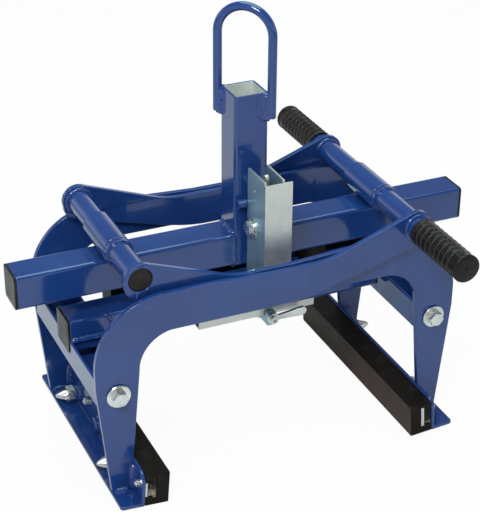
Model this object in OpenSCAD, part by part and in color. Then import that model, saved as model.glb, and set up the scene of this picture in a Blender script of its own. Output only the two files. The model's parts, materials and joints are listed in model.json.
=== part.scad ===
// Self-closing clamp for lifting stair treads. Millimetres, +Z up, floor at z = 0.
// X runs along the lifting beam, the post stands on the z axis and -Y is the front.

/* [Square tubes] */
// outside width of the lifting beam, the post and the base tube
tube_size = 50; // [44:1:54]
// wall of those tubes
tube_wall = 4; // [2.5:0.5:6]
// outside corner radius of those tubes
tube_corner = 5; // [4:0.5:7]
// visible thickness of a black tube cap
cap_face = 3.5; // [2:0.5:6]
// depth of a cap's plug inside its tube
cap_plug = 14; // [6:1:30]

/* [Lifting beam, post and eye] */
// length of the lifting beam over its caps
beam_length = 690; // [600:5:800]
// height of the post, from the underside of the beam
post_height = 256; // [200:2:300]
// diameter of the round bar of the lifting eye
eye_bar = 12.5; // [10:0.5:16]
// height of the eye above the post
eye_rise = 123.5; // [95:1:160]
// length of the eye's legs beside the post
eye_lap = 36.5; // [20:1:60]

/* [Base frame] */
// height of the jaw pivots above the floor
pivot_height = 166; // [150:1:180]
// width of a crossbar along the beam
crossbar_width = 56; // [50:1:60]
// height of a crossbar
crossbar_height = 40; // [36:1:46]
// wall of a crossbar
crossbar_wall = 4; // [3:0.5:6]
// end plate of a crossbar, which holds the pivot bolt
crossbar_end = 12; // [8:1:20]
// height of the pivot in the crossbar, from its underside
pivot_in_crossbar = 16; // [14:1:18]
// depth of the seat for the tube in the top of a crossbar
tube_seat = 19; // [8:1:22]
// air between the free end of the base tube and the right crossbar
base_end_air = 6.5; // [4:0.5:30]
// diameter of the rubber buffers under the lifting beam
buffer_diameter = 40; // [24:1:44]
// height of those buffers
buffer_height = 34.7; // [30:0.1:40]
// distance of a buffer from the post axis
buffer_reach = 110; // [75:1:150]

/* [Slide bar] */
// width of the slide bar, front to back
slide_width = 40; // [30:1:46]
// height of the slide bar
slide_height = 60; // [50:1:64]
// wall of the slide bar
slide_wall = 3; // [2:0.5:5]
// length of the slide bar past the post, on the side away from its crossbar
slide_reach = 192; // [170:1:205]
// wall of the two guide straps round the slide bar
guide_wall = 4; // [3:0.5:6]
// length of a guide strap along the bar
guide_length = 22; // [14:1:26]

/* [Jaw plates] */
// opening between the rubber faces at the floor, clamp open
jaw_opening = 382; // [364:1:400]
// distance of the pivots outside the rubber faces
pivot_setback = 54; // [50:1:58]
// distance of the handle's axis from the post axis
handle_reach = 200.5; // [185:0.5:212]
// distance of the roller tube's axis from the post axis
roller_tube_reach = 204; // [185:0.5:212]
// thickness of the jaw plates
plate_thickness = 8; // [6:1:10]
// distance of the inner plates' outer face from the post axis
inner_plate_face = 129; // [115:1:140]
// air between the inner and the outer plates
plate_air = 5; // [2.5:0.5:7]
// width of a leg inside its pivot
leg_inside = 31.5; // [30:1:38]
// width of a leg outside its pivot
leg_outside = 31; // [28:1:36]
// height at which the outer edge of a leg begins to taper
leg_taper_height = 180; // [160:1:200]
// radius of the outer shoulder
shoulder_radius = 100; // [80:1:108]
// radius of the inner corner
corner_radius = 53; // [40:1:60]
// height of the arm at its middle
arm_height = 52.2; // [46:0.1:56]
// depth of the arm's top edge under the top of the lifting beam
arm_dip = 3.3; // [2:0.1:8]
// rise of the shoulder over the flat of the arm
shoulder_rise = 4.8; // [3:0.1:6]
// slope of the arm's top edge where it climbs to its ring
top_slope = 20; // [18:0.5:24]
// slope of the arm's underside there
low_slope = 15.5; // [14:0.5:17]
// distance of that underside below the middle of the ring
low_offset = 28.5; // [26:0.5:30]
// radius of the eye ring at the end of an arm
ring_radius = 23.5; // [21:0.5:28]

/* [Handle and rollers] */
// outside diameter of the round tubes
pipe_diameter = 33.7; // [30:0.1:36]
// wall of the round tubes
pipe_wall = 3.2; // [2:0.1:5]
// depth of the roller tube's ends inside the outer face of their plates
plug_recess = 3.5; // [2.5:0.5:6]
// thickness of the plugs' heads
plug_head = 2; // [1:0.5:3]
// outside diameter of the rollers
roller_diameter = 41; // [40:0.1:48]
// length of a roller
roller_length = 84; // [60:1:160]
// width of the collar in front of a roller
collar_width = 8; // [4:1:14]
// length of a grip
grip_length = 115; // [90:1:125]
// distance of a grip from the outer jaw plate
grip_gap = 15; // [4:1:40]
// diameter over the ribs of a grip
grip_diameter = 40.5; // [39:0.5:48]
// distance from rib to rib
rib_pitch = 11.5; // [8:0.5:14]

/* [Feet] */
// lean of the open feet, outer edge up
foot_lean = 4; // [0:0.5:5]
// length of the feet, front to back
foot_length = 360; // [340:2:420]
// thickness of the rubber bars
rubber_thickness = 35; // [30:1:38]
// height of the rubber bars
rubber_height = 50; // [44:1:52]
// thickness of the steel angle
angle_thickness = 5; // [4:0.5:6]
// height of the steel angle
angle_height = 51; // [46:1:54]
// width of the steel angle's floor leg, past its upright leg
angle_floor = 29.5; // [26:0.5:34]
// radius of the angle's upper corners
angle_corner = 16; // [4:1:30]
// thickness of the zinc strip in the rubber
strip_thickness = 5; // [3:0.5:8]
// height of the painted bosses on the angle
boss_height = 6.5; // [4:0.5:8]
// width across the flats of the cone nuts
cone_nut_flats = 22; // [17:1:24]
// length of a cone nut
cone_nut_length = 28; // [22:1:30]
// distance of the cone nuts from the middle
cone_nut_reach = 92; // [75:1:100]

/* [Pivot and latch bolts] */
// diameter of the pivot and latch bolts
bolt_diameter = 16; // [12:1:18]
// width across the flats of their heads
bolt_flats = 24; // [19:1:27]
// height of their heads
bolt_head = 10; // [8:0.5:13]
// diameter of their wide washers
washer_diameter = 34; // [30:1:42]
// thickness of those washers
washer_thickness = 3; // [2:0.5:4]

/* [Latch] */
// outside distance across the two flanges of the latch channel
latch_width = 30; // [27:1:34]
// width of the latch channel's front web
latch_web = 41; // [38:1:50]
// depth of the latch channel
latch_depth = 58; // [54:1:64]
// thickness of its sheet
latch_sheet = 3; // [2:0.5:3.5]
// length of the channel
latch_length = 184; // [175:1:200]
// height of the channel's lower end above the base tube
latch_lift = 7; // [4:1:12]
// height of the latch bolt above the channel's lower end
latch_bolt_rise = 100; // [90:1:110]
// height of the pin on the post above the latch bolt
latch_pin_rise = 28; // [26:1:34]
// height of the bracket in the channel above the base tube
bracket_rise = 54; // [40:1:70]
// air between the channel's flanges and the post
latch_air = 11; // [10:0.5:14]
// diameter of the round hub of the pawl
pawl_hub = 30; // [24:1:34]
// thickness of the nut on the latch bolt
latch_nut = 11; // [8:1:14]
// diameter of the collars on the post's pin
latch_pin = 13; // [12:0.5:14]
// thickness of the latch pawl
pawl_thickness = 5; // [4:1:8]

/* [Width lock] */
// width of the zinc rail under the base tube
rail_width = 40; // [30:1:44]
// height of that rail
rail_height = 12; // [8:1:14]
// length of that rail
rail_length = 184; // [150:1:200]
// width of the lock block along the rail
lock_block_width = 14; // [12:1:20]
// length of the lever from its screw to the middle of its round end
lever_length = 47; // [40:1:70]
// thickness of the lever
lever_thickness = 5; // [4:0.5:8]

/* [Fits] */
// air between parts that move past each other
move_air = 0.3; // [0.3:0.05:0.6]
// radial clearance of a shaft or a bolt in its bore
run_air = 0.05; // [0.03:0.01:0.09]
// radial clearance of a tube welded in a plate and of a plug in a tube
weld_air = 0.1; // [0.05:0.05:0.3]

/* [Hidden] */
$fn = 96;
blue = [0.13, 0.22, 0.50];
black = [0.07, 0.07, 0.07];
zinc = [0.78, 0.80, 0.79];

// heights
crossbar_bottom = pivot_height - pivot_in_crossbar;
crossbar_top = crossbar_bottom + crossbar_height;
base_bottom = crossbar_top - tube_seat;
base_top = base_bottom + tube_size;
beam_bottom = base_top + buffer_height + move_air;
beam_top = beam_bottom + tube_size;
axis_z = beam_top + roller_diameter / 2 + move_air;
post_top = beam_bottom + post_height;

// the jaws, drawn for the right jaw and mirrored for the left one
jaw_half = jaw_opening / 2;
pivot_x = jaw_half + pivot_setback;
leg_in = pivot_x - leg_inside;
leg_out = pivot_x + leg_outside;
arm_top = beam_top - arm_dip;
arm_bottom = arm_top - arm_height;
shoulder_top = arm_top + shoulder_rise;
shoulder_foot = 20;
shoulder_start = 110;
top_round = 130;
low_round = 250;
tip_round = 20;
arc_bite = 0.1;
outer_plate_face = inner_plate_face + plate_air + plate_thickness;
handle_length = 2 * (outer_plate_face + grip_gap + grip_length);
shank_radius = bolt_diameter / 2;
bore_radius = shank_radius + run_air;

// feet: u runs outward from the rubber face, v runs up
web_u = rubber_thickness;
flange_u = web_u + angle_thickness;
edge_u = flange_u + angle_floor;
function foot_x(u, v) = jaw_half + u * cos(foot_lean) - v * sin(foot_lean);
function foot_z(u, v) = u * sin(foot_lean) + v * cos(foot_lean);
cone_v = 20.5;
foot_bolt_radius = 3;
foot_bolt_flats = 10;
foot_bolt_nut = 5;
foot_bolts = [[50, 30], [foot_length / 2 - 14, 31]];
cavity_u = 18;
cavity_low = 9.5;
cavity_high = rubber_height - 6;
lip_depth = web_u - cavity_u - strip_thickness - 0.5;
lip_height = 5;
stud_length = angle_thickness + lip_depth + strip_thickness;

// crossbars, slide bar and width lock
crossbar_in = pivot_x - crossbar_width / 2;
crossbar_out = crossbar_in + crossbar_width;
base_reach = crossbar_in - base_end_air;
slide_y = tube_size / 2 + guide_wall + move_air;
slide_top = base_bottom + slide_height;
guides = [-55, 85];
rail_middle = 14;
rail_bottom = base_bottom - rail_height;
rail_wall = 2.5;
lock_x = 33;
lock_z = rail_bottom + 1;
lock_front = -31;
lock_drop = 12;
lock_nut_drop = 7.5;
lock_nut_flange = 13.6;
lock_nut_flats = 10;
lever_angle = 3;
lever_hub = 8.5;
lever_tip = 6.5;
lever_neck = 3;
screw_radius = 4;
screw_head = 11.5;

// latch
latch_x = -10.5;
latch_rear = -tube_size / 2 - latch_air;
latch_front = latch_rear - latch_depth;
latch_bottom = base_top + latch_lift;
latch_top = latch_bottom + latch_length;
latch_bolt_y = latch_rear - 18;
latch_bolt_z = latch_bottom + latch_bolt_rise;
pin_z = latch_bolt_z + latch_pin_rise;
pin_shank = 8;
pawl_x = 0;
latch_washer = 33;
latch_washer_thickness = 2.5;
latch_flats = 22;
latch_head = 7.2;

// helpers

module rounded(w, h, r) {
    translate([-w / 2 + r, -h / 2]) square([w - 2 * r, h]);
    translate([-w / 2, -h / 2 + r]) square([w, h - 2 * r]);
    for (x = [-1, 1], y = [-1, 1])
        translate([x * (w / 2 - r), y * (h / 2 - r)]) circle(r = r);
}

module hollow(w, h, wall, r) {
    difference() {
        rounded(w, h, r);
        rounded(w - 2 * wall, h - 2 * wall, max(r - wall, 1));
    }
}

// a profile in (y, z), drawn out along X
module along_x(x0, x1) {
    translate([x0, 0, 0]) rotate([90, 0, 90]) linear_extrude(x1 - x0) children();
}

// a profile in (x, z), drawn out along Y
module along_y(y0, y1) {
    translate([0, y1, 0]) rotate([90, 0, 0]) linear_extrude(y1 - y0) children();
}

// a body of revolution about Y, from y0 towards +Y or, with side -1, towards -Y
module turned_y(y0, side = 1) {
    translate([0, y0, 0]) rotate([-90 * side, 0, 0]) children();
}

module mirrored_if(left) {
    mirror([left ? 1 : 0, 0, 0]) children();
}

module hexagon_bar(flats, length) {
    cylinder(r = flats / sqrt(3), h = length, $fn = 6);
}

// black cap for a square tube; the tube ends at x = 0 and the cap looks to +X
module tube_cap(w, h, wall, r) {
    along_x(0, cap_face) rounded(w, h, r);
    inner = max(r - wall, 1);
    along_x(-cap_plug, 0)
        rounded(w - 2 * wall - 2 * weld_air, h - 2 * wall - 2 * weld_air, inner);
}

// lifting beam

module beam_half(left) {
    mirrored_if(left)
        translate([0, 0, beam_bottom + tube_size / 2])
            along_x(tube_size / 2, beam_length / 2 - cap_face)
                hollow(tube_size, tube_size, tube_wall, tube_corner);
}

module beam_left() { color(blue) beam_half(true); }

module beam_right() { color(blue) beam_half(false); }

module beam_caps() {
    color(black)
        for (left = [true, false])
            mirrored_if(left)
                translate([beam_length / 2 - cap_face, 0, beam_bottom + tube_size / 2])
                    tube_cap(tube_size, tube_size, tube_wall, tube_corner);
}

module lifting_post() {
    color(blue)
        translate([0, 0, beam_bottom])
            linear_extrude(post_height) hollow(tube_size, tube_size, tube_wall, tube_corner);
}

// round bar bent to a U and welded on two opposite corners of the post
module lifting_eye() {
    corner = (tube_size / 2 - tube_corner) * sqrt(2) + tube_corner;
    half = corner + eye_bar / 2;
    bend_z = post_top + eye_rise - eye_bar / 2 - half;
    color(blue)
        rotate([0, 0, -45]) {
            for (x = [-half, half])
                translate([x, 0, post_top - eye_lap])
                    cylinder(d = eye_bar, h = bend_z - post_top + eye_lap);
            translate([0, 0, bend_z])
                rotate([90, 0, 0])
                    rotate_extrude(angle = 180) translate([half, 0]) circle(d = eye_bar);
        }
}

// pin welded on the front of the post by its two collars, which the latch pawl catches
module post_pin() {
    half = tube_size / 2 - 1;
    left_end = latch_x - 0.5;
    right_end = latch_x + latch_width + 1;
    color(blue)
        translate([0, -tube_size / 2 - latch_pin / 2, pin_z])
            rotate([0, 90, 0]) {
                translate([0, 0, -half]) cylinder(d = latch_pin, h = left_end + half);
                translate([0, 0, left_end - 1]) cylinder(d = pin_shank, h = right_end - left_end + 2);
                translate([0, 0, right_end]) cylinder(d = latch_pin, h = half - right_end);
            }
}

// base frame

module base_tube() {
    color(blue)
        translate([0, 0, base_bottom + tube_size / 2])
            along_x(-crossbar_out - 1.5 + cap_face, base_reach - cap_face)
                hollow(tube_size, tube_size, tube_wall, tube_corner);
}

module base_tube_caps() {
    color(black)
        translate([0, 0, base_bottom + tube_size / 2]) {
            translate([base_reach - cap_face, 0, 0])
                tube_cap(tube_size, tube_size, tube_wall, tube_corner);
            mirror([1, 0, 0])
                translate([crossbar_out + 1.5 - cap_face, 0, 0])
                    tube_cap(tube_size, tube_size, tube_wall, tube_corner);
        }
}

// channel, open on top and closed at its ends, notched where a tube lies across it
module crossbar(half_length, seat_y0, seat_y1) {
    inside = crossbar_width - 2 * crossbar_wall;
    middle = [(crossbar_in + crossbar_out) / 2, crossbar_bottom + crossbar_height / 2];
    difference() {
        union() {
            along_y(-half_length, half_length)
                translate(middle)
                    difference() {
                        rounded(crossbar_width, crossbar_height, 2);
                        translate([-inside / 2, crossbar_wall - crossbar_height / 2])
                            square([inside, crossbar_height]);
                    }
            for (y = [-half_length, half_length - crossbar_end])
                translate([crossbar_in + crossbar_wall, y, crossbar_bottom + crossbar_wall - 1])
                    cube([inside, crossbar_end, crossbar_height - crossbar_wall + 1]);
        }
        translate([crossbar_in - 1, seat_y0, base_bottom])
            cube([crossbar_width + 2, seat_y1 - seat_y0, crossbar_height]);
        for (side = [-1, 1])
            translate([pivot_x, 0, pivot_height])
                turned_y(side * (half_length + 1), -side)
                    cylinder(r = bore_radius, h = crossbar_end + 2);
    }
}

module left_crossbar() {
    color(blue)
        mirror([1, 0, 0])
            crossbar(outer_plate_face - plate_thickness - move_air,
                     -tube_size / 2, tube_size / 2);
}

module right_crossbar() {
    color(blue)
        crossbar(inner_plate_face - plate_thickness - move_air,
                 slide_y, slide_y + slide_width);
}

// hexagon bolts with wide washers, one at the front and one at the back
module pivot_bolts(face) {
    for (side = [-1, 1])
        translate([pivot_x, 0, pivot_height])
            turned_y(side * (face + move_air), side) {
                cylinder(d = washer_diameter, h = washer_thickness);
                translate([0, 0, washer_thickness]) hexagon_bar(bolt_flats, bolt_head);
                reach = plate_thickness + 2 * move_air + crossbar_end - 1;
                translate([0, 0, -reach]) cylinder(r = shank_radius, h = reach + 1);
            }
}

module left_pivot_bolts() { color(zinc) mirror([1, 0, 0]) pivot_bolts(outer_plate_face); }

module right_pivot_bolts() { color(zinc) pivot_bolts(inner_plate_face); }

module beam_buffers() {
    color(black)
        for (x = [-buffer_reach, buffer_reach])
            translate([x, 0, base_top]) cylinder(d = buffer_diameter, h = buffer_height);
}

// slide bar that sets the opening of the clamp

module slide_bar() {
    color(black)
        translate([0, slide_y + slide_width / 2, base_bottom + slide_height / 2])
            along_x(-slide_reach + cap_face, crossbar_out + 1.5 - cap_face)
                hollow(slide_width, slide_height, slide_wall, 4);
}

module slide_bar_caps() {
    color(black)
        translate([0, slide_y + slide_width / 2, base_bottom + slide_height / 2]) {
            translate([crossbar_out + 1.5 - cap_face, 0, 0])
                tube_cap(slide_width, slide_height, slide_wall, 4);
            mirror([1, 0, 0])
                translate([slide_reach - cap_face, 0, 0])
                    tube_cap(slide_width, slide_height, slide_wall, 4);
        }
}

// two straps on the back of the base tube, in which the slide bar runs
module slide_guides() {
    hole = [slide_width + 2 * move_air, slide_height + 2 * move_air];
    color(blue)
        for (x = guides)
            translate([0, slide_y + slide_width / 2, base_bottom + slide_height / 2])
                along_x(x - guide_length / 2, x + guide_length / 2)
                    difference() {
                        square([hole.x + 2 * guide_wall, hole.y + 2 * guide_wall], center = true);
                        square(hole, center = true);
                    }
}

// width lock under the base tube

module lock_rail() {
    color(zinc)
        along_x(rail_middle - rail_length / 2, rail_middle + rail_length / 2)
            translate([0, rail_bottom + rail_height / 2])
                difference() {
                    square([rail_width, rail_height], center = true);
                    translate([0, rail_wall])
                        square([rail_width - 2 * rail_wall, rail_height], center = true);
                }
}

module lock_block() {
    rear = slide_y + slide_width;
    shoe = slide_width - 4;
    lug = 9;
    color(zinc) {
        translate([lock_x - lock_block_width / 2, lock_front, rail_bottom - lock_drop])
            cube([lock_block_width, rear - lock_front, lock_drop]);
        translate([lock_x - lock_block_width / 2, rear - shoe, rail_bottom])
            cube([lock_block_width, shoe, rail_height - move_air]);
        translate([lock_x - lock_block_width / 2, lock_front, rail_bottom - 1])
            cube([lock_block_width, lug, lug]);
    }
}

module lock_nut() {
    color(zinc)
        translate([lock_x - lock_block_width / 2, 0, rail_bottom - lock_nut_drop])
            rotate([0, -90, 0]) {
                cylinder(d = lock_nut_flange, h = 2);
                translate([0, 0, 1]) hexagon_bar(lock_nut_flats, 6);
                translate([0, 0, 6]) cylinder(d1 = 9, d2 = 5, h = 3);
            }
}

module lock_screw() {
    color(zinc)
        translate([lock_x, lock_front, lock_z])
            rotate([90, 0, 0])
                difference() {
                    union() {
                        cylinder(r = screw_radius, h = lever_thickness + 2 * move_air + 1);
                        translate([0, 0, lever_thickness + 2 * move_air])
                            cylinder(d = screw_head, h = 5);
                    }
                    translate([0, 0, lever_thickness + 2]) hexagon_bar(6, 6);
                }
}

// flat lever that widens from its hub to its round end
module lock_lever() {
    tip = [lever_length * cos(lever_angle), lever_length * sin(lever_angle)];
    normal = [-sin(lever_angle), cos(lever_angle)];
    color(zinc)
        translate([lock_x, 0, lock_z])
            along_y(lock_front - move_air - lever_thickness, lock_front - move_air)
                difference() {
                    union() {
                        circle(r = lever_hub);
                        translate(tip) circle(r = lever_tip);
                        polygon([lever_neck * normal, tip + lever_tip * normal,
                                 tip - lever_tip * normal, -lever_neck * normal]);
                    }
                    circle(r = screw_radius + run_air);
                }
}

// latch

// blue bar that carries the channel in front of the post
module latch_bracket() {
    x0 = latch_x + latch_sheet;
    width = latch_width - 2 * latch_sheet;
    bracket_depth = 10;
    post_air = 0.5;
    low = base_bottom + tube_corner;
    color(blue) {
        translate([x0, latch_rear - bracket_depth, low])
            cube([width, bracket_depth + latch_air - post_air, base_top + bracket_rise - low]);
        translate([x0, latch_rear - 1, low])
            cube([width, latch_air + 1, tube_size - 2 * tube_corner]);
    }
}

// channel of folded sheet, open to the post, with its front web wider than the flanges
module latch_channel() {
    flange_round = 3;
    color(zinc)
        difference() {
            translate([0, 0, latch_bottom])
                linear_extrude(latch_length) {
                    translate([latch_x, latch_front]) square([latch_web, latch_sheet]);
                    for (x = [latch_x, latch_x + latch_width - latch_sheet])
                        translate([x, latch_front]) square([latch_sheet, latch_depth]);
                }
            translate([latch_x - 1, latch_front - 1, latch_top - 4])
                cube([latch_web + 2, latch_sheet + 1, 5]);
            translate([latch_x - 1, latch_bolt_y, latch_bolt_z])
                rotate([0, 90, 0]) cylinder(r = bore_radius, h = latch_width + 2);
            translate([latch_x - 1, latch_bolt_y - 5, latch_top - 26])
                rotate([0, 90, 0]) cylinder(r = 1.8, h = latch_sheet + 2);
            along_x(latch_x - 1, latch_x + latch_width + 1)
                translate([latch_rear - flange_round, latch_top - flange_round])
                    difference() {
                        square(flange_round + 1);
                        circle(r = flange_round);
                    }
        }
}

module latch_bolt() {
    color(zinc)
        translate([latch_x, latch_bolt_y, latch_bolt_z])
            rotate([0, 90, 0]) {
                translate([0, 0, -latch_washer_thickness])
                    cylinder(d = latch_washer, h = latch_washer_thickness);
                translate([0, 0, -latch_washer_thickness - latch_head])
                    hexagon_bar(latch_flats, latch_head);
                translate([0, 0, -1]) cylinder(r = shank_radius, h = latch_width + 2);
                translate([0, 0, latch_width]) hexagon_bar(latch_flats, latch_nut);
            }
}

// pawl that turns on the latch bolt and hooks over the pin of the post
module latch_pawl() {
    nose_z = pin_z + latch_pin / 2 + 5 - latch_bolt_z;
    nose_y = latch_rear - 1 - latch_bolt_y;
    tail_z = latch_top - 6 - latch_bolt_z;
    tail_y = -13;
    neck = pawl_hub * 0.4;
    color(zinc)
        translate([0, latch_bolt_y, latch_bolt_z])
            along_x(pawl_x, pawl_x + pawl_thickness)
                difference() {
                    union() {
                        circle(d = pawl_hub);
                        polygon([[-neck, 0], [neck, 0], [4, nose_z - 4], [nose_y, nose_z],
                                 [nose_y, nose_z + 6], [-4, nose_z + 12], [tail_y + 6, tail_z],
                                 [tail_y - 6, tail_z]]);
                        translate([tail_y, tail_z]) circle(r = 6);
                    }
                    circle(r = bore_radius);
                }
}

// jaws

// outline of a jaw plate in (x, z): leg, shoulder, arm and the ring at its end
module plate_outline(reach) {
    ring = [-reach, axis_z];
    fall = [sin(low_slope), cos(low_slope)];
    top_x = ring.x + (ring_radius + (axis_z - arm_top) * cos(top_slope)) / sin(top_slope);
    top_run = top_round * tan(top_slope / 2);
    low_x = ring.x + ((axis_z - arm_bottom) * cos(low_slope) - low_offset) / sin(low_slope);
    low_run = low_round * tan(low_slope / 2);
    difference() {
        union() {
            difference() {
                polygon([
                    ring + (ring_radius - arc_bite) * [sin(top_slope), cos(top_slope)],
                    [top_x - top_run * cos(top_slope), arm_top + top_run * sin(top_slope)],
                    [top_x + top_run, arm_top],
                    [shoulder_foot, arm_top],
                    [shoulder_start, shoulder_top],
                    [leg_out - shoulder_radius, shoulder_top],
                    [leg_out - shoulder_radius, arm_bottom],
                    [low_x, arm_bottom],
                    ring - low_offset * fall,
                ]);
                translate([top_x + top_run, arm_top + top_round - arc_bite])
                    circle(r = top_round, $fn = 360);
                difference() {
                    polygon([
                        [low_x + low_run, arm_bottom],
                        [low_x, arm_bottom - 1],
                        [low_x - low_run * cos(low_slope), arm_bottom + low_run * sin(low_slope)],
                    ]);
                    translate([low_x + low_run, arm_bottom + low_round - arc_bite])
                        circle(r = low_round, $fn = 720);
                }
            }
            translate(ring - (low_offset - tip_round + arc_bite) * fall) circle(r = tip_round);
            intersection() {
                translate([leg_out - shoulder_radius, shoulder_top - shoulder_radius])
                    circle(r = shoulder_radius, $fn = 180);
                translate([leg_out - shoulder_radius, shoulder_top - shoulder_radius])
                    square(shoulder_radius);
            }
            translate([leg_in - corner_radius, arm_bottom - corner_radius])
                square([corner_radius + 8, corner_radius + 1]);
            polygon([
                [foot_x(flange_u, angle_thickness), foot_z(flange_u, angle_thickness)],
                [foot_x(edge_u - 1, angle_thickness), foot_z(edge_u - 1, angle_thickness)],
                [leg_out, leg_taper_height],
                [leg_out, shoulder_top - shoulder_radius],
                [leg_in, shoulder_top - shoulder_radius],
                [leg_in, arm_bottom - corner_radius],
                [foot_x(flange_u, angle_height) - 1, foot_z(flange_u, angle_height) + 3],
                [foot_x(flange_u, angle_height), foot_z(flange_u, angle_height)],
            ]);
            translate(ring) circle(r = ring_radius);
        }
        translate([leg_in - corner_radius, arm_bottom - corner_radius])
            circle(r = corner_radius);
        translate(ring) circle(d = pipe_diameter + 2 * weld_air);
        translate([pivot_x, pivot_height]) circle(r = bore_radius);
    }
}

module jaw_plate(left, rear) {
    face = left ? outer_plate_face : inner_plate_face;
    y0 = rear ? face - plate_thickness : -face;
    reach = left ? handle_reach : roller_tube_reach;
    color(blue) mirrored_if(left) along_y(y0, y0 + plate_thickness) plate_outline(reach);
}

module left_front_plate() { jaw_plate(true, false); }

module left_rear_plate() { jaw_plate(true, true); }

module right_front_plate() { jaw_plate(false, false); }

module right_rear_plate() { jaw_plate(false, true); }

// round tube; its roller turns between a collar at the front and a small ring
module round_tube(length) {
    turned_y(-length / 2)
        difference() {
            union() {
                cylinder(d = pipe_diameter, h = length);
                translate([0, 0, length / 2 - roller_length / 2 - move_air - collar_width])
                    cylinder(d = roller_diameter - 1, h = collar_width);
                translate([0, 0, length / 2 + roller_length / 2 + move_air])
                    cylinder(d = pipe_diameter + 3, h = 3);
            }
            translate([0, 0, -1]) cylinder(d = pipe_diameter - 2 * pipe_wall, h = length + 2);
        }
}

module handle_tube() {
    color(blue) translate([handle_reach, 0, axis_z]) round_tube(handle_length - 4);
}

module roller_tube() {
    color(blue)
        translate([-roller_tube_reach, 0, axis_z])
            round_tube(2 * (inner_plate_face - plug_recess));
}

module roller_tube_plugs() {
    color(black)
        for (side = [-1, 1])
            translate([-roller_tube_reach, 0, axis_z])
                turned_y(side * (inner_plate_face - plug_recess), side) {
                    cylinder(r = pipe_diameter / 2 + weld_air - move_air, h = plug_head);
                    translate([0, 0, -cap_plug])
                        cylinder(r = pipe_diameter / 2 - pipe_wall - weld_air, h = cap_plug + 0.5);
                }
}

module roller() {
    turned_y(-roller_length / 2)
        difference() {
            cylinder(d = roller_diameter, h = roller_length);
            translate([0, 0, -1])
                cylinder(r = pipe_diameter / 2 + run_air, h = roller_length + 2);
        }
}

module handle_roller() { color(blue) translate([handle_reach, 0, axis_z]) roller(); }

module tube_roller() { color(blue) translate([-roller_tube_reach, 0, axis_z]) roller(); }

// ribbed rubber grip with a closed outer end
module grip(side) {
    rib = rib_pitch * 0.55;
    count = floor((grip_length - 14) / rib_pitch);
    translate([handle_reach, 0, axis_z])
        turned_y(side * (handle_length / 2 - grip_length), side)
            difference() {
                union() {
                    cylinder(d = grip_diameter - 3, h = grip_length);
                    cylinder(d = grip_diameter, h = 5);
                    translate([0, 0, grip_length - 5]) cylinder(d = grip_diameter, h = 5);
                    for (i = [0 : count - 1])
                        translate([0, 0, 7 + i * rib_pitch]) cylinder(d = grip_diameter, h = rib);
                }
                translate([0, 0, -1])
                    cylinder(d = pipe_diameter + 2 * weld_air, h = grip_length - 1);
            }
}

module front_grip() { color(black) grip(-1); }

module rear_grip() { color(black) grip(1); }

// feet

// places a child drawn in foot axes, u outward and v up, at the right or the left jaw
module foot(left) {
    mirrored_if(left) translate([jaw_half, 0, 0]) rotate([0, -foot_lean, 0]) children();
}

module foot_angle(left) {
    round_corner = 5;
    color(blue)
        foot(left)
            difference() {
                union() {
                    along_x(web_u, flange_u) {
                        translate([-foot_length / 2, 0])
                            square([foot_length, angle_height - angle_corner]);
                        translate([-foot_length / 2 + angle_corner, 0])
                            square([foot_length - 2 * angle_corner, angle_height]);
                        for (side = [-1, 1])
                            translate([side * (foot_length / 2 - angle_corner),
                                       angle_height - angle_corner])
                                circle(r = angle_corner);
                    }
                    linear_extrude(angle_thickness) {
                        translate([flange_u - 1, -foot_length / 2])
                            square([angle_floor + 1 - round_corner, foot_length]);
                        translate([flange_u - 1, round_corner - foot_length / 2])
                            square([angle_floor + 1, foot_length - 2 * round_corner]);
                        for (side = [-1, 1])
                            translate([edge_u - round_corner,
                                       side * (foot_length / 2 - round_corner)])
                                circle(r = round_corner);
                    }
                    for (y = [-cone_nut_reach, 0, cone_nut_reach])
                        on_angle(flange_u - 1, y, cone_v)
                            cylinder(r = cone_nut_flats / 2, h = boss_height + 1);
                }
                for (side = [-1, 1]) {
                    for (bolt = foot_bolts)
                        on_angle(web_u - 1, side * bolt.x, bolt.y)
                            cylinder(r = foot_bolt_radius + run_air, h = angle_thickness + 2);
                    on_angle(web_u - 1, side * cone_nut_reach, cone_v)
                        cylinder(r = shank_radius / 2 + run_air,
                                 h = angle_thickness + boss_height + 2);
                }
            }
}

// turns a child drawn along +Z to lie along u, at height v
module on_angle(u, y, v) {
    translate([u, y, v]) rotate([0, 90, 0]) children();
}

// rubber bar with a slot along its back, held by a zinc strip in the slot
module rubber(left) {
    mouth = cavity_high - cavity_low - 2 * lip_height;
    color(black)
        foot(left)
            along_y(-foot_length / 2, foot_length / 2)
                difference() {
                    square([web_u, rubber_height]);
                    translate([cavity_u, cavity_low])
                        square([web_u - lip_depth - cavity_u, cavity_high - cavity_low]);
                    translate([cavity_u, cavity_low + lip_height]) square([web_u, mouth]);
                }
}

module clamp_strip(left) {
    color(zinc)
        foot(left)
            difference() {
                translate([web_u - lip_depth - strip_thickness, 2 - foot_length / 2, cavity_low + 1])
                    cube([strip_thickness, foot_length - 4, cavity_high - cavity_low - 2]);
                for (side = [-1, 1]) {
                    for (bolt = foot_bolts)
                        on_angle(cavity_u, side * bolt.x, bolt.y)
                            cylinder(r = foot_bolt_radius + run_air, h = web_u);
                    on_angle(cavity_u, side * cone_nut_reach, cone_v)
                        cylinder(r = shank_radius / 2 + run_air, h = web_u);
                }
            }
}

// hexagon nuts with a cone, with their studs
module cone_nuts(left) {
    hexagon = cone_nut_length * 0.4;
    color(zinc)
        foot(left)
            for (side = [-1, 1])
                on_angle(flange_u + boss_height, side * cone_nut_reach, cone_v) {
                    hexagon_bar(cone_nut_flats, hexagon);
                    translate([0, 0, hexagon])
                        cylinder(r1 = cone_nut_flats / 2 - 0.5, r2 = 1,
                                 h = cone_nut_length - hexagon);
                    translate([0, 0, -stud_length - boss_height])
                        cylinder(r = shank_radius / 2, h = stud_length + boss_height + 1);
                }
}

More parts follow.
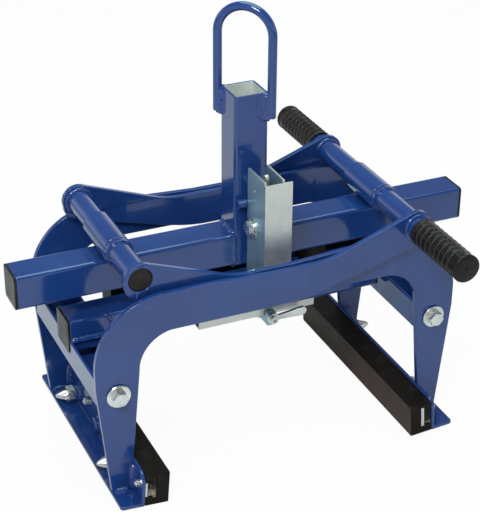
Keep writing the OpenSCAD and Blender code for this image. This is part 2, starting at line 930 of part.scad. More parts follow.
module foot_bolt_set(left) {
    color(zinc)
        foot(left)
            for (side = [-1, 1], bolt = foot_bolts)
                on_angle(flange_u, side * bolt.x, bolt.y) {
                    hexagon_bar(foot_bolt_flats, foot_bolt_nut);
                    translate([0, 0, -stud_length])
                        cylinder(r = foot_bolt_radius, h = stud_length + foot_bolt_nut + 2);
                }
}

module left_foot_angle() { foot_angle(true); }

module right_foot_angle() { foot_angle(false); }

module left_rubber() { rubber(true); }

module right_rubber() { rubber(false); }

module left_clamp_strip() { clamp_strip(true); }

module right_clamp_strip() { clamp_strip(false); }

module left_cone_nuts() { cone_nuts(true); }

module right_cone_nuts() { cone_nuts(false); }

module left_foot_bolts() { foot_bolt_set(true); }

module right_foot_bolts() { foot_bolt_set(false); }

base_tube();
base_tube_caps();
left_crossbar();
left_pivot_bolts();
beam_buffers();
latch_bracket();
latch_channel();
latch_bolt();
slide_guides();
lock_rail();
lock_block();
lock_nut();
lock_screw();
latch_pawl();
lock_lever();
slide_bar();
slide_bar_caps();
right_crossbar();
right_pivot_bolts();
beam_left();
beam_right();
beam_caps();
lifting_post();
lifting_eye();
post_pin();
left_front_plate();
left_rear_plate();
handle_tube();
front_grip();
rear_grip();
left_foot_angle();
left_rubber();
left_clamp_strip();
left_cone_nuts();
left_foot_bolts();
right_front_plate();
right_rear_plate();
roller_tube();
roller_tube_plugs();
right_foot_angle();
right_rubber();
right_clamp_strip();
right_cone_nuts();
right_foot_bolts();
handle_roller();
tube_roller();
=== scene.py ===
import json
import math
import random

import bpy
import bmesh
from mathutils import Matrix, Vector
from mathutils.noise import noise as noiseAt


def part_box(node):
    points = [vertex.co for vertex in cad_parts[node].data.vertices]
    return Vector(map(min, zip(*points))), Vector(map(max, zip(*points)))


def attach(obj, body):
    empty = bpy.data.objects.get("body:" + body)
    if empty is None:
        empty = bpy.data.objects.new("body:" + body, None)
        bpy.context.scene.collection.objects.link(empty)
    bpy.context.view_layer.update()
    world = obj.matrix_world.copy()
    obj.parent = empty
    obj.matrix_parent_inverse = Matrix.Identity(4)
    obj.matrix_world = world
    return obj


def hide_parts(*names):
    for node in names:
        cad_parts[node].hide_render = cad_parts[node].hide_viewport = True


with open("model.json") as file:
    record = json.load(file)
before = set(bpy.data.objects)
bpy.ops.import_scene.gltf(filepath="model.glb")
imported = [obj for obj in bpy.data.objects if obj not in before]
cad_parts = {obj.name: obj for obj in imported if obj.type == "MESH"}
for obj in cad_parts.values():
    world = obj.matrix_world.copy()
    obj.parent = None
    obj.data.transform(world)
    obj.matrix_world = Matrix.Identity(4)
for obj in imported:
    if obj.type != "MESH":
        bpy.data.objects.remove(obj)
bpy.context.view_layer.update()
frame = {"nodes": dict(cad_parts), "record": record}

mm = 0.001
facing = 0.7        # a face looks along an axis if its normal has more than this along it
slotOfNode = {part["node"]: part["material_slot"] for part in frame["record"]["subparts"]}
scene = bpy.context.scene


# helpers for materials

def newMaterial(name, colour, roughness, metallic=0.0, specular=0.5):
    mat = bpy.data.materials.new(name)
    mat.use_nodes = True
    shader = mat.node_tree.nodes["Principled BSDF"]
    shader.inputs["Base Color"].default_value = (*colour, 1)
    shader.inputs["Roughness"].default_value = roughness
    shader.inputs["Metallic"].default_value = metallic
    shader.inputs["Specular IOR Level"].default_value = specular
    return mat, mat.node_tree, shader


def noise(tree, scale, detail, stretch=(1, 1, 1)):
    # object coordinates keep the pattern on the piece while it moves
    coord = tree.nodes.new("ShaderNodeTexCoord")
    mapping = tree.nodes.new("ShaderNodeMapping")
    mapping.inputs["Scale"].default_value = stretch
    tex = tree.nodes.new("ShaderNodeTexNoise")
    tex.inputs["Scale"].default_value = scale
    tex.inputs["Detail"].default_value = detail
    tree.links.new(coord.outputs["Object"], mapping.inputs["Vector"])
    tree.links.new(mapping.outputs["Vector"], tex.inputs["Vector"])
    return tex.outputs["Fac"]


def remap(tree, value, low, high, toLow, toHigh):
    node = tree.nodes.new("ShaderNodeMapRange")
    node.inputs["From Min"].default_value = low
    node.inputs["From Max"].default_value = high
    node.inputs["To Min"].default_value = toLow
    node.inputs["To Max"].default_value = toHigh
    tree.links.new(value, node.inputs["Value"])
    return node.outputs["Result"]


def patches(tree, look, least, most):
    # noise that runs from least to most while it goes from the look's low to its high
    return remap(tree, noise(tree, look["scale"], look["detail"]), look["low"], look["high"], least, most)


def mixColour(tree, factor, first, second):
    node = tree.nodes.new("ShaderNodeMix")
    node.data_type = "RGBA"
    tree.links.new(factor, node.inputs["Factor"])
    for socket, value in (("A", first), ("B", second)):
        target = [s for s in node.inputs if s.name == socket and s.type == "RGBA"][0]
        if isinstance(value, tuple):
            target.default_value = (*value, 1)
        else:
            tree.links.new(value, target)
    return [s for s in node.outputs if s.type == "RGBA"][0]


def addTogether(tree, first, second, share):
    node = tree.nodes.new("ShaderNodeMath")
    node.operation = "MULTIPLY_ADD"
    tree.links.new(second, node.inputs[0])
    node.inputs[1].default_value = share
    tree.links.new(first, node.inputs[2])
    return node.outputs[0]


def bump(tree, shader, height, strength, distance):
    node = tree.nodes.new("ShaderNodeBump")
    node.inputs["Strength"].default_value = strength
    node.inputs["Distance"].default_value = distance
    tree.links.new(height, node.inputs["Height"])
    tree.links.new(node.outputs["Normal"], shader.inputs["Normal"])


# glossy blue powder coat
bluePaint = {
    "colour": (0.012, 0.048, 0.2),
    "deep": (0.01, 0.04, 0.175),
    "clouds": {"scale": 9, "detail": 3, "low": 0.35, "high": 0.65},     # from colour to deep
    "chalk": (0.045, 0.1, 0.26),
    "dust": {"scale": 46, "detail": 6, "low": 0.66, "high": 0.8},       # faint dust and rub marks
    "mostDust": 0.5,
    "roughness": 0.14,
    "sheen": {"scale": 30, "detail": 4, "low": 0.3, "high": 0.7},       # spread of the roughness
    "smoother": 0.05,
    "rougher": 0.06,
    "specular": 0.42,
    "coat": 0.5,
    "coatRoughness": 0.03,
    "peelScale": 380,        # orange peel of the powder, about 3 mm from crest to crest
    "peelDetail": 1,
    "peelDepth": 0.05 * mm,
    "peelStrength": 0.35,
    "lumpScale": 260,        # coarser lumps where the paint lies on weld metal
    "lumpDetail": 3,
    "lumpShare": 2.0,
    "lumpStrength": 1.0,
}


def makePaint(name, lumps=False):
    look = bluePaint
    mat, tree, shader = newMaterial(name, look["colour"], look["roughness"], specular=look["specular"])
    shader.inputs["Coat Weight"].default_value = look["coat"]
    shader.inputs["Coat Roughness"].default_value = look["coatRoughness"]
    tone = mixColour(tree, patches(tree, look["clouds"], 0, 1), look["colour"], look["deep"])
    dust = patches(tree, look["dust"], 0, look["mostDust"])
    tree.links.new(mixColour(tree, dust, tone, look["chalk"]), shader.inputs["Base Color"])
    sheen = patches(tree, look["sheen"], look["roughness"] - look["smoother"],
                    look["roughness"] + look["rougher"])
    tree.links.new(sheen, shader.inputs["Roughness"])
    peel = noise(tree, look["peelScale"], look["peelDetail"])
    if lumps:
        peel = addTogether(tree, peel, noise(tree, look["lumpScale"], look["lumpDetail"]), look["lumpShare"])
    bump(tree, shader, peel, look["lumpStrength"] if lumps else look["peelStrength"], look["peelDepth"])
    return mat


# zinc plating: colour, its darker clouds, roughness, metallic share and stretch of the grain
zincLooks = {
    "bright_zinc": {"colour": (0.74, 0.76, 0.74), "shade": (0.56, 0.6, 0.6), "roughness": 0.26,
                    "metallic": 1, "stretch": (1, 1, 1)},
    "zinc_sheet": {"colour": (0.7, 0.7, 0.66), "shade": (0.6, 0.62, 0.59), "roughness": 0.36,
                   "metallic": 0.8, "stretch": (1, 1, 0.12)},
    # painted reflection: blue green tint for what the latch channel's sides reflect; the lock block takes it
    # too
    "zinc_with_painted_reflection": {"colour": (0.42, 0.62, 0.66), "shade": (0.34, 0.52, 0.58), "roughness": 0.36,
                    "metallic": 0.8, "stretch": (1, 1, 0.12)},
    "galvanised_bore": {"colour": (0.5, 0.58, 0.5), "shade": (0.74, 0.76, 0.74), "roughness": 0.5,
                        "metallic": 0.3, "stretch": (1, 1, 1)},
}
zincSurface = {
    "clouds": {"scale": 38, "detail": 5, "low": 0.3, "high": 0.7},
    "sheen": {"scale": 90, "detail": 4, "low": 0.25, "high": 0.75},
    "smoother": 0.07,
    "rougher": 0.1,
    "grainScale": 160,
    "grainDetail": 5,
    "grainStrength": 0.35,
    "grainDepth": 0.06 * mm,
}


def makeZinc(name):
    look = zincLooks[name]
    surface = zincSurface
    mat, tree, shader = newMaterial(name, look["colour"], look["roughness"], metallic=look["metallic"])
    clouds = patches(tree, surface["clouds"], 0, 1)
    tree.links.new(mixColour(tree, clouds, look["colour"], look["shade"]), shader.inputs["Base Color"])
    sheen = patches(tree, surface["sheen"], look["roughness"] - surface["smoother"],
                    look["roughness"] + surface["rougher"])
    tree.links.new(sheen, shader.inputs["Roughness"])
    grain = noise(tree, surface["grainScale"], surface["grainDetail"], look["stretch"])
    bump(tree, shader, grain, surface["grainStrength"], surface["grainDepth"])
    return mat


# rubber, plastic and black coat: colour, worn colour, roughness, specular, scale and depth of the grain
darkLooks = {
    "black_rubber": {"colour": (0.0085, 0.006, 0.0045), "worn": (0.022, 0.015, 0.011), "roughness": 0.5,
                     "specular": 0.12, "grainScale": 700, "grainDepth": 0.08 * mm},
    # brown of the gripping faces: wear, and painted light that makes these sides brighter than the tops
    "worn_rubber_with_painted_light": {"colour": (0.058, 0.042, 0.034), "worn": (0.045, 0.032, 0.025), "roughness": 0.5,
                    "specular": 0.12, "grainScale": 700, "grainDepth": 0.08 * mm},
    "grip_rubber": {"colour": (0.009, 0.007, 0.006), "worn": (0.026, 0.021, 0.018), "roughness": 0.27,
                    "specular": 0.22, "grainScale": 900, "grainDepth": 0.05 * mm},
    # paler crest colour: wear, and a painted highlight standing in for the bright arcs on the ribs
    "grip_crests_worn_with_painted_highlight": {"colour": (0.06, 0.052, 0.047), "worn": (0.026, 0.021, 0.018), "roughness": 0.3,
                          "specular": 0.22, "grainScale": 900, "grainDepth": 0.05 * mm},
    "black_plastic": {"colour": (0.012, 0.009, 0.0075), "worn": (0.06, 0.042, 0.03), "roughness": 0.34,
                      "specular": 0.22, "grainScale": 500, "grainDepth": 0.04 * mm},
    "black_coat": {"colour": (0.008, 0.008, 0.009), "worn": (0.012, 0.009, 0.0075), "roughness": 0.5,
                   "specular": 0.22, "grainScale": 420, "grainDepth": 0.05 * mm},
}
darkSurface = {
    "wear": {"scale": 55, "detail": 6, "low": 0.5, "high": 0.78},
    "mostWear": 0.8,
    "sheen": {"scale": 24, "detail": 3, "low": 0.3, "high": 0.7},
    "smoother": 0.06,
    "rougher": 0.1,
    "grainDetail": 4,
    "grainStrength": 0.4,
}


def makeDark(name):
    look = darkLooks[name]
    surface = darkSurface
    mat, tree, shader = newMaterial(name, look["colour"], look["roughness"], specular=look["specular"])
    wear = patches(tree, surface["wear"], 0, surface["mostWear"])
    tree.links.new(mixColour(tree, wear, look["colour"], look["worn"]), shader.inputs["Base Color"])
    sheen = patches(tree, surface["sheen"], look["roughness"] - surface["smoother"],
                    look["roughness"] + surface["rougher"])
    tree.links.new(sheen, shader.inputs["Roughness"])
    grain = noise(tree, look["grainScale"], surface["grainDetail"])
    bump(tree, shader, grain, surface["grainStrength"], look["grainDepth"])
    return mat


# dirt in the slots of the rubber bars, pale near the floor, with painted shade that darkens it higher up in
# the slot
slotDirtAndShadeLook = {
    "pale": (0.3, 0.29, 0.2),
    # painted shade of the slot's upper part
    "dark": (0.012, 0.011, 0.008),
    "roughness": 0.7,
    "specular": 0.22,
    "foot": 14 * mm,         # height at which the painted shade begins, then where it is dark
    "tops": {"dirt_and_painted_shade_in_the_slot": 40 * mm, "dirt_low_and_painted_shade_in_the_slot": 26 * mm},
    "byHeight": 0.6,         # share of the height in the painted shade, then share of the noise
    "byNoise": 0.8,
    "noiseScale": 130,
    "detail": 4,
    "from": 0.45,
    "to": 0.8,
    "bumpScale": 300,
    "bumpStrength": 0.5,
    "bumpDepth": 0.2 * mm,
}


def makeSlotDirtAndShade(name):
    look = slotDirtAndShadeLook
    mat, tree, shader = newMaterial(name, look["pale"], look["roughness"], specular=look["specular"])
    coord = tree.nodes.new("ShaderNodeTexCoord")
    parts = tree.nodes.new("ShaderNodeSeparateXYZ")
    tree.links.new(coord.outputs["Object"], parts.inputs[0])
    # painted shade: the colour darkens higher up in the slot
    height = remap(tree, parts.outputs["Z"], look["foot"], look["tops"][name], 0, look["byHeight"])
    mixed = addTogether(tree, height, noise(tree, look["noiseScale"], look["detail"]), look["byNoise"])
    shade = remap(tree, mixed, look["from"], look["to"], 0, 1)
    tree.links.new(mixColour(tree, shade, look["pale"], look["dark"]), shader.inputs["Base Color"])
    crust = noise(tree, look["bumpScale"], look["detail"])
    bump(tree, shader, crust, look["bumpStrength"], look["bumpDepth"])
    return mat


paint = makePaint("blue_powder_coat")
weldPaint = makePaint("blue_powder_coat_on_welds", lumps=True)
boltZinc = makeZinc("bright_zinc")
sheetZinc = makeZinc("zinc_sheet")
zincPaintedReflection = makeZinc("zinc_with_painted_reflection")
boreZinc = makeZinc("galvanised_bore")
rubberBlack = makeDark("black_rubber")
wornRubberWithPaintedLight = makeDark("worn_rubber_with_painted_light")
gripBlack = makeDark("grip_rubber")
gripCrestWornAndHighlight = makeDark("grip_crests_worn_with_painted_highlight")
plasticBlack = makeDark("black_plastic")
slotDirtAndShade = makeSlotDirtAndShade("dirt_and_painted_shade_in_the_slot")
slotDirtAndShadeLow = makeSlotDirtAndShade("dirt_low_and_painted_shade_in_the_slot")
coatBlack = makeDark("black_coat")
materialOfSlot = {
    "blue_powder_coat": paint,
    "zinc": boltZinc,
    "black_rubber": rubberBlack,
    "black_plastic": plasticBlack,
    "black_coat": coatBlack,
}
print("materials made")

# CAD nodes that stay: their finish and softened edges
softEdge = {
    "black_rubber": 1.6 * mm,
    "zinc": 0.4 * mm,
    "other": 0.9 * mm,        # plates, tubes and caps
    "segments": 2,
    "angle": 32,
    "merge": 0.15 * mm,       # joins the short edges where two arcs meet
}
# the left clamp strip takes the slot's dirt with its painted shade
# the lock block takes the same teal zinc with its painted reflection
ownMaterial = {
    "latch_channel": sheetZinc, "lock_rail": sheetZinc, "left_clamp_strip": slotDirtAndShade,
    "right_clamp_strip": sheetZinc, "lock_block": zincPaintedReflection, "latch_pawl": sheetZinc,
}
postWall = 4 * mm


def softenEdges(piece, width, segments):
    soft = piece.modifiers.new("soft_edges", "BEVEL")
    soft.width = width
    soft.segments = segments
    return soft


def dressNode(name):
    node = frame["nodes"][name]
    slotName = slotOfNode[name]
    node.data.materials.clear()
    node.data.materials.append(ownMaterial.get(name, materialOfSlot[slotName]))
    if "custom_normal" in node.data.attributes:
        node.data.attributes.remove(node.data.attributes["custom_normal"])
    for poly in node.data.polygons:
        poly.material_index = 0
        poly.use_smooth = True
    weld = node.modifiers.new("weld", "WELD")
    weld.merge_threshold = softEdge["merge"]
    soft = softenEdges(node, softEdge.get(slotName, softEdge["other"]), softEdge["segments"])
    soft.limit_method = "ANGLE"
    soft.angle_limit = math.radians(softEdge["angle"])
    soft.use_clamp_overlap = False
    soft.loop_slide = False
    node.modifiers.new("even_shade", "WEIGHTED_NORMAL")


def paintFaces(name, mat, wanted):
    # a second finish on the faces that wanted picks
    node = frame["nodes"][name]
    node.data.materials.append(mat)
    for poly in node.data.polygons:
        if wanted(node, poly):
            poly.material_index = 1


def insidePost(node, poly):
    # the inside of the post's open end is galvanised, not painted
    low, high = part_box("lifting_post")
    middle = (low + high) / 2
    centre = node.matrix_world @ poly.center
    away = max(abs(centre.x - middle.x), abs(centre.y - middle.y))
    return away < (high.x - low.x) / 2 - postWall and abs(poly.normal.z) < facing


for nodeName in frame["nodes"]:
    dressNode(nodeName)
# the faces that grip the tread are worn brown, and the brown also paints the light and reflection these sides
# catch, brighter than the tops
paintFaces("left_rubber", wornRubberWithPaintedLight, lambda node, poly: poly.normal.x > facing)
paintFaces("right_rubber", wornRubberWithPaintedLight, lambda node, poly: poly.normal.x < -facing)
paintFaces("lifting_post", boreZinc, insidePost)
# painted reflection: the two sides of the latch channel are tinted blue green for what they reflect, its web
# is paler
paintFaces("latch_channel", zincPaintedReflection, lambda node, poly: abs(poly.normal.x) > facing)
print("CAD nodes dressed")


# helpers for meshes

def makePiece(name, bm, body, mat, sharp=35, replaced=()):
    bmesh.ops.recalc_face_normals(bm, faces=bm.faces)
    mesh = bpy.data.meshes.new(name)
    bm.to_mesh(mesh)
    bm.free()
    for poly in mesh.polygons:
        poly.use_smooth = True
    mesh.set_sharp_from_angle(angle=math.radians(sharp))
    mesh.materials.append(mat)
    piece = bpy.data.objects.new(name, mesh)
    scene.collection.objects.link(piece)
    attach(piece, body)
    if replaced:
        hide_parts(*replaced)
    return piece


def addRings(bm, rings):
    # a closed skin over rings with the same number of points
    made = [[bm.verts.new(point) for point in ring] for ring in rings]
    count = len(made[0])
    for low, high in zip(made, made[1:]):
        for i in range(count):
            j = (i + 1) % count
            bm.faces.new((low[i], low[j], high[j], high[i]))
    bm.faces.new(list(reversed(made[0])))
    bm.faces.new(made[-1])


turned = {
    "segments": 72,
    "thin": 32,              # segments of a thin shank
    "innerRing": 0.6,        # a ring on a flat end keeps its shading even
    "rim": 0.97,             # hexagon: the turned chamfer begins at this share of the flats
    "chamfer": 30,
}


def addTurned(bm, place, rows, segments=turned["segments"]):
    # rows of (height, radius); either may be a function of the angle
    rings = []
    for height, radius in rows:
        ring = []
        for i in range(segments):
            turn = 2 * math.pi * i / segments
            size = radius(turn) if callable(radius) else radius
            level = height(turn) if callable(height) else height
            ring.append(place @ Vector((size * math.cos(turn), size * math.sin(turn), level)))
        rings.append(ring)
    addRings(bm, rings)


def along(origin, direction, twist=0.0):
    # a frame whose Z axis points along direction
    turn = Vector(direction).to_track_quat("Z", "Y").to_matrix().to_4x4()
    return Matrix.Translation(origin) @ turn @ Matrix.Rotation(twist, 4, "Z")


def addHexagon(bm, place, flats, height, start=0.0, doubled=False):
    # hexagon with the round chamfer of a turned head; doubled chamfers both ends, as on a nut
    def corner(turn):
        return flats / 2 / math.cos((turn + math.pi / 6) % (math.pi / 3) - math.pi / 6)

    rim = flats / 2 * turned["rim"]

    def lift(turn):
        return (corner(turn) - rim) * math.tan(math.radians(turned["chamfer"]))

    low = [(start, rim), (lambda turn: start + lift(turn), corner)] if doubled else [(start, corner)]
    top = start + height
    high = [(lambda turn: top - lift(turn), corner), (top, rim), (top, rim * turned["innerRing"])]
    addTurned(bm, place, low + high)


def addDisc(bm, place, outer, thickness, edge, start=0.0):
    end = start + thickness
    addTurned(bm, place, [(start, outer - edge), (start + edge, outer), (end - edge, outer),
                          (end, outer - edge), (end, outer * turned["innerRing"])])


def addBox(bm, low, high):
    ring = [(low[0], low[1]), (high[0], low[1]), (high[0], high[1]), (low[0], high[1])]
    addRings(bm, [[Vector((x, y, height)) for x, y in ring] for height in (low[2], high[2])])


# pivot bolts
pivotBolt = {
    "flats": 19 * mm, "head": 10 * mm, "twist": 0.35,
    "washer": 34 * mm, "washerThickness": 3 * mm, "washerEdge": 0.7 * mm,
    "shank": 16 * mm, "shankDepth": 18 * mm,
}


def addPivotBolts(name, body):
    bolt = pivotBolt
    low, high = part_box(name)
    middle = (low + high) / 2
    bm = bmesh.new()
    for side, end in ((-1, low.y), (1, high.y)):
        face = end - side * (bolt["head"] + bolt["washerThickness"])
        place = along((middle.x, face, middle.z), (0, side, 0), bolt["twist"])
        addDisc(bm, place, bolt["washer"] / 2, bolt["washerThickness"], bolt["washerEdge"])
        addHexagon(bm, place, bolt["flats"], bolt["head"], bolt["washerThickness"])
        addTurned(bm, place, [(-bolt["shankDepth"], bolt["shank"] / 2),
                              (bolt["washerThickness"], bolt["shank"] / 2)])
    makePiece(name + "_turned", bm, body, boltZinc, replaced=[name])


addPivotBolts("left_pivot_bolts", "base")
addPivotBolts("right_pivot_bolts", "carriage")

# latch bolt with a wide washer, a spring washer and a nut
latchBolt = {
    "flats": 18 * mm, "head": 5.7 * mm, "twist": 0.2,
    "washer": 33 * mm, "washerThickness": 2.2 * mm, "washerEdge": 0.6 * mm,
    "spring": 25 * mm, "springThickness": 1.8 * mm, "springEdge": 0.5 * mm,
    "shank": 12 * mm, "nut": 11 * mm, "nutTwist": 0.1,
}


def addLatchBolt():
    bolt = latchBolt
    low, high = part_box("latch_bolt")
    y, height = (low.y + high.y) / 2, (low.z + high.z) / 2
    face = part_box("latch_channel")[0].x
    bm = bmesh.new()
    place = along((face, y, height), (-1, 0, 0), bolt["twist"])
    addDisc(bm, place, bolt["washer"] / 2, bolt["washerThickness"], bolt["washerEdge"])
    addDisc(bm, place, bolt["spring"] / 2, bolt["springThickness"], bolt["springEdge"],
            bolt["washerThickness"])
    addHexagon(bm, place, bolt["flats"], bolt["head"], bolt["washerThickness"] + bolt["springThickness"])
    back = along((high.x - bolt["nut"], y, height), (1, 0, 0), bolt["nutTwist"])
    addHexagon(bm, back, bolt["flats"], bolt["nut"], doubled=True)
    addTurned(bm, back, [(face - high.x + bolt["nut"], bolt["shank"] / 2), (0, bolt["shank"] / 2)])
    makePiece("latch_bolt_turned", bm, "base", boltZinc, replaced=["latch_bolt"])


addLatchBolt()

latchBracket = {
    "bottom": 201 * mm, "block": 20.5 * mm, "edge": 1 * mm,
    "spacer": 12 * mm, "spacerTop": 216 * mm,
}


def addLatchBracket():
    # block inside the channel and its spacer on the base tube; their lower end stays behind the front plate
    bracket = latchBracket
    low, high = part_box("latch_bracket")
    bm = bmesh.new()
    addBox(bm, (low.x, low.y, bracket["bottom"]), (high.x, low.y + bracket["block"], high.z))
    addBox(bm, (low.x, high.y - bracket["spacer"], bracket["bottom"]), (high.x, high.y, bracket["spacerTop"]))
    piece = makePiece("latch_bracket_block", bm, "base", paint,
                      replaced=["latch_bracket"])
    softenEdges(piece, bracket["edge"], softEdge["segments"])
    piece.modifiers.new("even_shade", "WEIGHTED_NORMAL")


addLatchBracket()

# the feet lean; u runs outward from the face of the rubber, v runs up
foot = {
    "lean": 4,
    "face": 191 * mm,           # distance of that face from the post, at the floor
    "angleBack": 40 * mm,       # u of the steel angle's outer side
    "boss": 6.5 * mm,           # height of the painted bosses on it
}
footNut = {
    "flats": 10 * mm, "height": 5 * mm, "twist": 0.3,
    "washer": 6.2 * mm, "washerThickness": 1 * mm, "washerEdge": 0.2 * mm,
    "shank": 3 * mm, "depth": 8 * mm, "end": 2 * mm, "chamfer": 0.6 * mm,
    "places": [(50 * mm, 30 * mm), (166 * mm, 31 * mm)],      # distance from the middle, height
}
coneNut = {
    "flats": 22 * mm, "hexagon": 11.2 * mm, "place": (92 * mm, 20.5 * mm), "twist": 0.4, "flutes": 6,
    # forged point, blunt at its end: height above the hexagon, share of its radius, depth of the flutes
    "point": [(-1 * mm, 0.9, 0), (0.5 * mm, 0.9, 0.02), (3 * mm, 0.8, 0.06), (8 * mm, 0.58, 0.1),
              (12.8 * mm, 0.38, 0.1), (15.2 * mm, 0.26, 0), (16.4 * mm, 0.2, 0), (16.8 * mm, 0.1, 0)],
    "stud": 4 * mm, "studFrom": -12 * mm, "studTo": 0.5 * mm,
}


def footPoint(side, u, y, v):
    lean = math.radians(foot["lean"])
    x = foot["face"] + u * math.cos(lean) - v * math.sin(lean)
    return Vector((side * x, y, u * math.sin(lean) + v * math.cos(lean)))


def footOutward(side):
    lean = math.radians(foot["lean"])
    return (side * math.cos(lean), 0, math.sin(lean))


def addFootNuts(side, prefix):
    nut = footNut
    washer, shank, end = nut["washerThickness"], nut["shank"], nut["height"] + nut["end"]
    bm = bmesh.new()
    for y, v in nut["places"]:
        for row in (-1, 1):
            origin = footPoint(side, foot["angleBack"], row * y, v)
            place = along(origin, footOutward(side), nut["twist"] * row)
            addDisc(bm, place, nut["washer"], washer, nut["washerEdge"])
            addHexagon(bm, place, nut["flats"], nut["height"] - washer, washer, doubled=True)
            addTurned(bm, place, [(-nut["depth"], shank), (end - nut["chamfer"], shank),
                                  (end, shank - nut["chamfer"])], turned["thin"])
    makePiece(prefix + "_foot_nuts", bm, prefix + "_jaw", boltZinc, replaced=[prefix + "_foot_bolts"])


def addConeNuts(side, prefix):
    nut = coneNut
    y, v = nut["place"]
    radius = nut["flats"] / 2

    def fluted(size, depth):
        return lambda turn: size * (1 + depth * math.cos(nut["flutes"] * turn))

    bm = bmesh.new()
    for row in (-1, 1):
        origin = footPoint(side, foot["angleBack"] + foot["boss"], row * y, v)
        place = along(origin, footOutward(side), nut["twist"])
        addHexagon(bm, place, nut["flats"], nut["hexagon"], doubled=True)
        addTurned(bm, place, [(nut["hexagon"] + height, fluted(radius * share, depth))
                              for height, share, depth in nut["point"]])
        addTurned(bm, place, [(nut["studFrom"], nut["stud"]), (nut["studTo"], nut["stud"])], turned["thin"])
    makePiece(prefix + "_cones", bm, prefix + "_jaw", boltZinc, replaced=[prefix + "_cone_nuts"])


for jaw, sideOfJaw in (("left", -1), ("right", 1)):
    addFootNuts(sideOfJaw, jaw)
    addConeNuts(sideOfJaw, jaw)
print("bolts and nuts made")

# ribbed grips
grip = {
    "radius": 20.25 * mm,
    "sink": 0.3 * mm,          # the ribbed length lies this much below the end collars
    "groove": 0.8 * mm, "pitch": 11.5 * mm,
    "rib": 2.4 * mm, "ribRise": 0.2 * mm, "ribSteps": 8, "ribShape": 0.8,
    "fine": 0.25 * mm, "fineFrom": 0.42, "fineTo": 0.58,      # low line in the middle of each groove
    "collar": 5 * mm, "collarEdge": 0.6 * mm, "collarDrop": 0.1 * mm, "gap": 1 * mm, "slack": 0.1 * mm,
    "innerEdge": 0.8 * mm, "innerFace": 3 * mm,
    "endRound": 1.6 * mm, "endShape": 0.3, "endRing": 0.5,
    "hole": 1.4 * mm, "holeFoot": 1.2 * mm, "holeDepth": 2 * mm,
    "stripWidth": 30, "stripTurn": 75, "stripFade": 5,        # smooth strip along the grip, in degrees
    "pale": 0.24,              # half width of a rib's pale crest (wear and painted highlight), as a share of the rib
    "segments": 96, "sharp": 50,
}


def ribbed(depth):
    # radius at a groove of that depth, which fades out at the smooth strip
    halfStrip = math.radians(grip["stripWidth"]) / 2

    def radius(turn):
        away = abs((turn - math.radians(grip["stripTurn"]) + math.pi) % (2 * math.pi) - math.pi)
        cover = min(1, max(0, (away - halfStrip) / math.radians(grip["stripFade"])))
        return grip["radius"] - grip["sink"] - depth * cover
    return radius


def gripRows(length):
    radius, groove, rib = grip["radius"], grip["groove"], grip["rib"]
    valley = grip["pitch"] - rib
    rows = [(0, radius - grip["innerFace"]), (0, radius - grip["innerEdge"]), (grip["innerEdge"], radius),
            (grip["collar"] - grip["collarEdge"], radius), (grip["collar"], radius - grip["collarEdge"])]
    at = grip["collar"] + grip["gap"]
    last = length - grip["collar"] - grip["gap"]
    while at + grip["pitch"] <= last + grip["slack"]:
        rows += [(at, ribbed(groove)), (at + valley * grip["fineFrom"], ribbed(groove)),
                 (at + valley / 2, ribbed(groove - grip["fine"])),
                 (at + valley * grip["fineTo"], ribbed(groove))]
        for k in range(grip["ribSteps"]):
            share = k / grip["ribSteps"]
            rise = (groove + grip["ribRise"]) * math.sin(math.pi * share) ** grip["ribShape"]
            rows.append((at + valley + rib * share, ribbed(groove - rise)))
        at += grip["pitch"]
    edge = grip["endRound"]
    collar = length - grip["collar"]
    rows += [(at, ribbed(groove)), (collar, ribbed(groove)),
             (collar + grip["collarEdge"], radius - grip["collarDrop"]), (length - edge, radius),
             (length - edge * grip["endShape"], radius - edge * grip["endShape"]), (length, radius - edge),
             (length, radius * grip["endRing"]), (length, grip["hole"]),
             (length - grip["holeDepth"], grip["holeFoot"])]
    return rows


def addGrip(name, side):
    low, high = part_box(name)
    middle = (low + high) / 2
    length = high.y - low.y
    start = high.y if side < 0 else low.y      # inner end
    bm = bmesh.new()
    addTurned(bm, along((middle.x, start, middle.z), (0, side, 0)), gripRows(length), grip["segments"])
    piece = makePiece(name + "_ribbed", bm, "left_jaw", gripBlack, grip["sharp"], [name])
    # the crests of the ribs are paler: wear, and a painted highlight for the thin bright arcs of light on
    # them
    piece.data.materials.append(gripCrestWornAndHighlight)
    first = grip["collar"] + grip["gap"]
    for poly in piece.data.polygons:
        reach = abs(poly.center.y - start)
        crest = (reach - first) % grip["pitch"] - (grip["pitch"] - grip["rib"] / 2)
        if first < reach < length - first and abs(crest) < grip["rib"] * grip["pale"]:
            poly.material_index = 1


addGrip("front_grip", -1)
addGrip("rear_grip", 1)
print("grips made")

# weld metal: round beads, fillet seams and spatter
bead = {
    "pitch": 2.6 * mm, "ripple": 0.05 * mm, "steps": 4, "sides": 16,     # steps of one ripple
    "swell": 0.12, "lump": 9,                                            # slow swelling, over so many steps
    "taper": 4, "tip": 0.6, "phase": 6,
}
seam = {
    "leg": 5 * mm, "bulge": 0.9 * mm, "rough": 0.7 * mm, "step": 0.45 * mm, "sides": 8, "root": 0.8 * mm,
    "taper": 9, "tip": 0.3, "chevron": 1.6, "grain": 150, "edge": 0.4,   # share of the roughness at its edges
}
spatter = {"drop": 0.9 * mm, "least": 0.5, "most": 1.4, "subdivisions": 2}
seedRange = 50
weldSharp = 60
chance = random.Random(5)


def tapered(i, last, shape):
    # rounds both ends of a run of weld metal
    return min(1, (i + shape["tip"]) / shape["taper"], (last - i + shape["tip"]) / shape["taper"]) ** 0.5


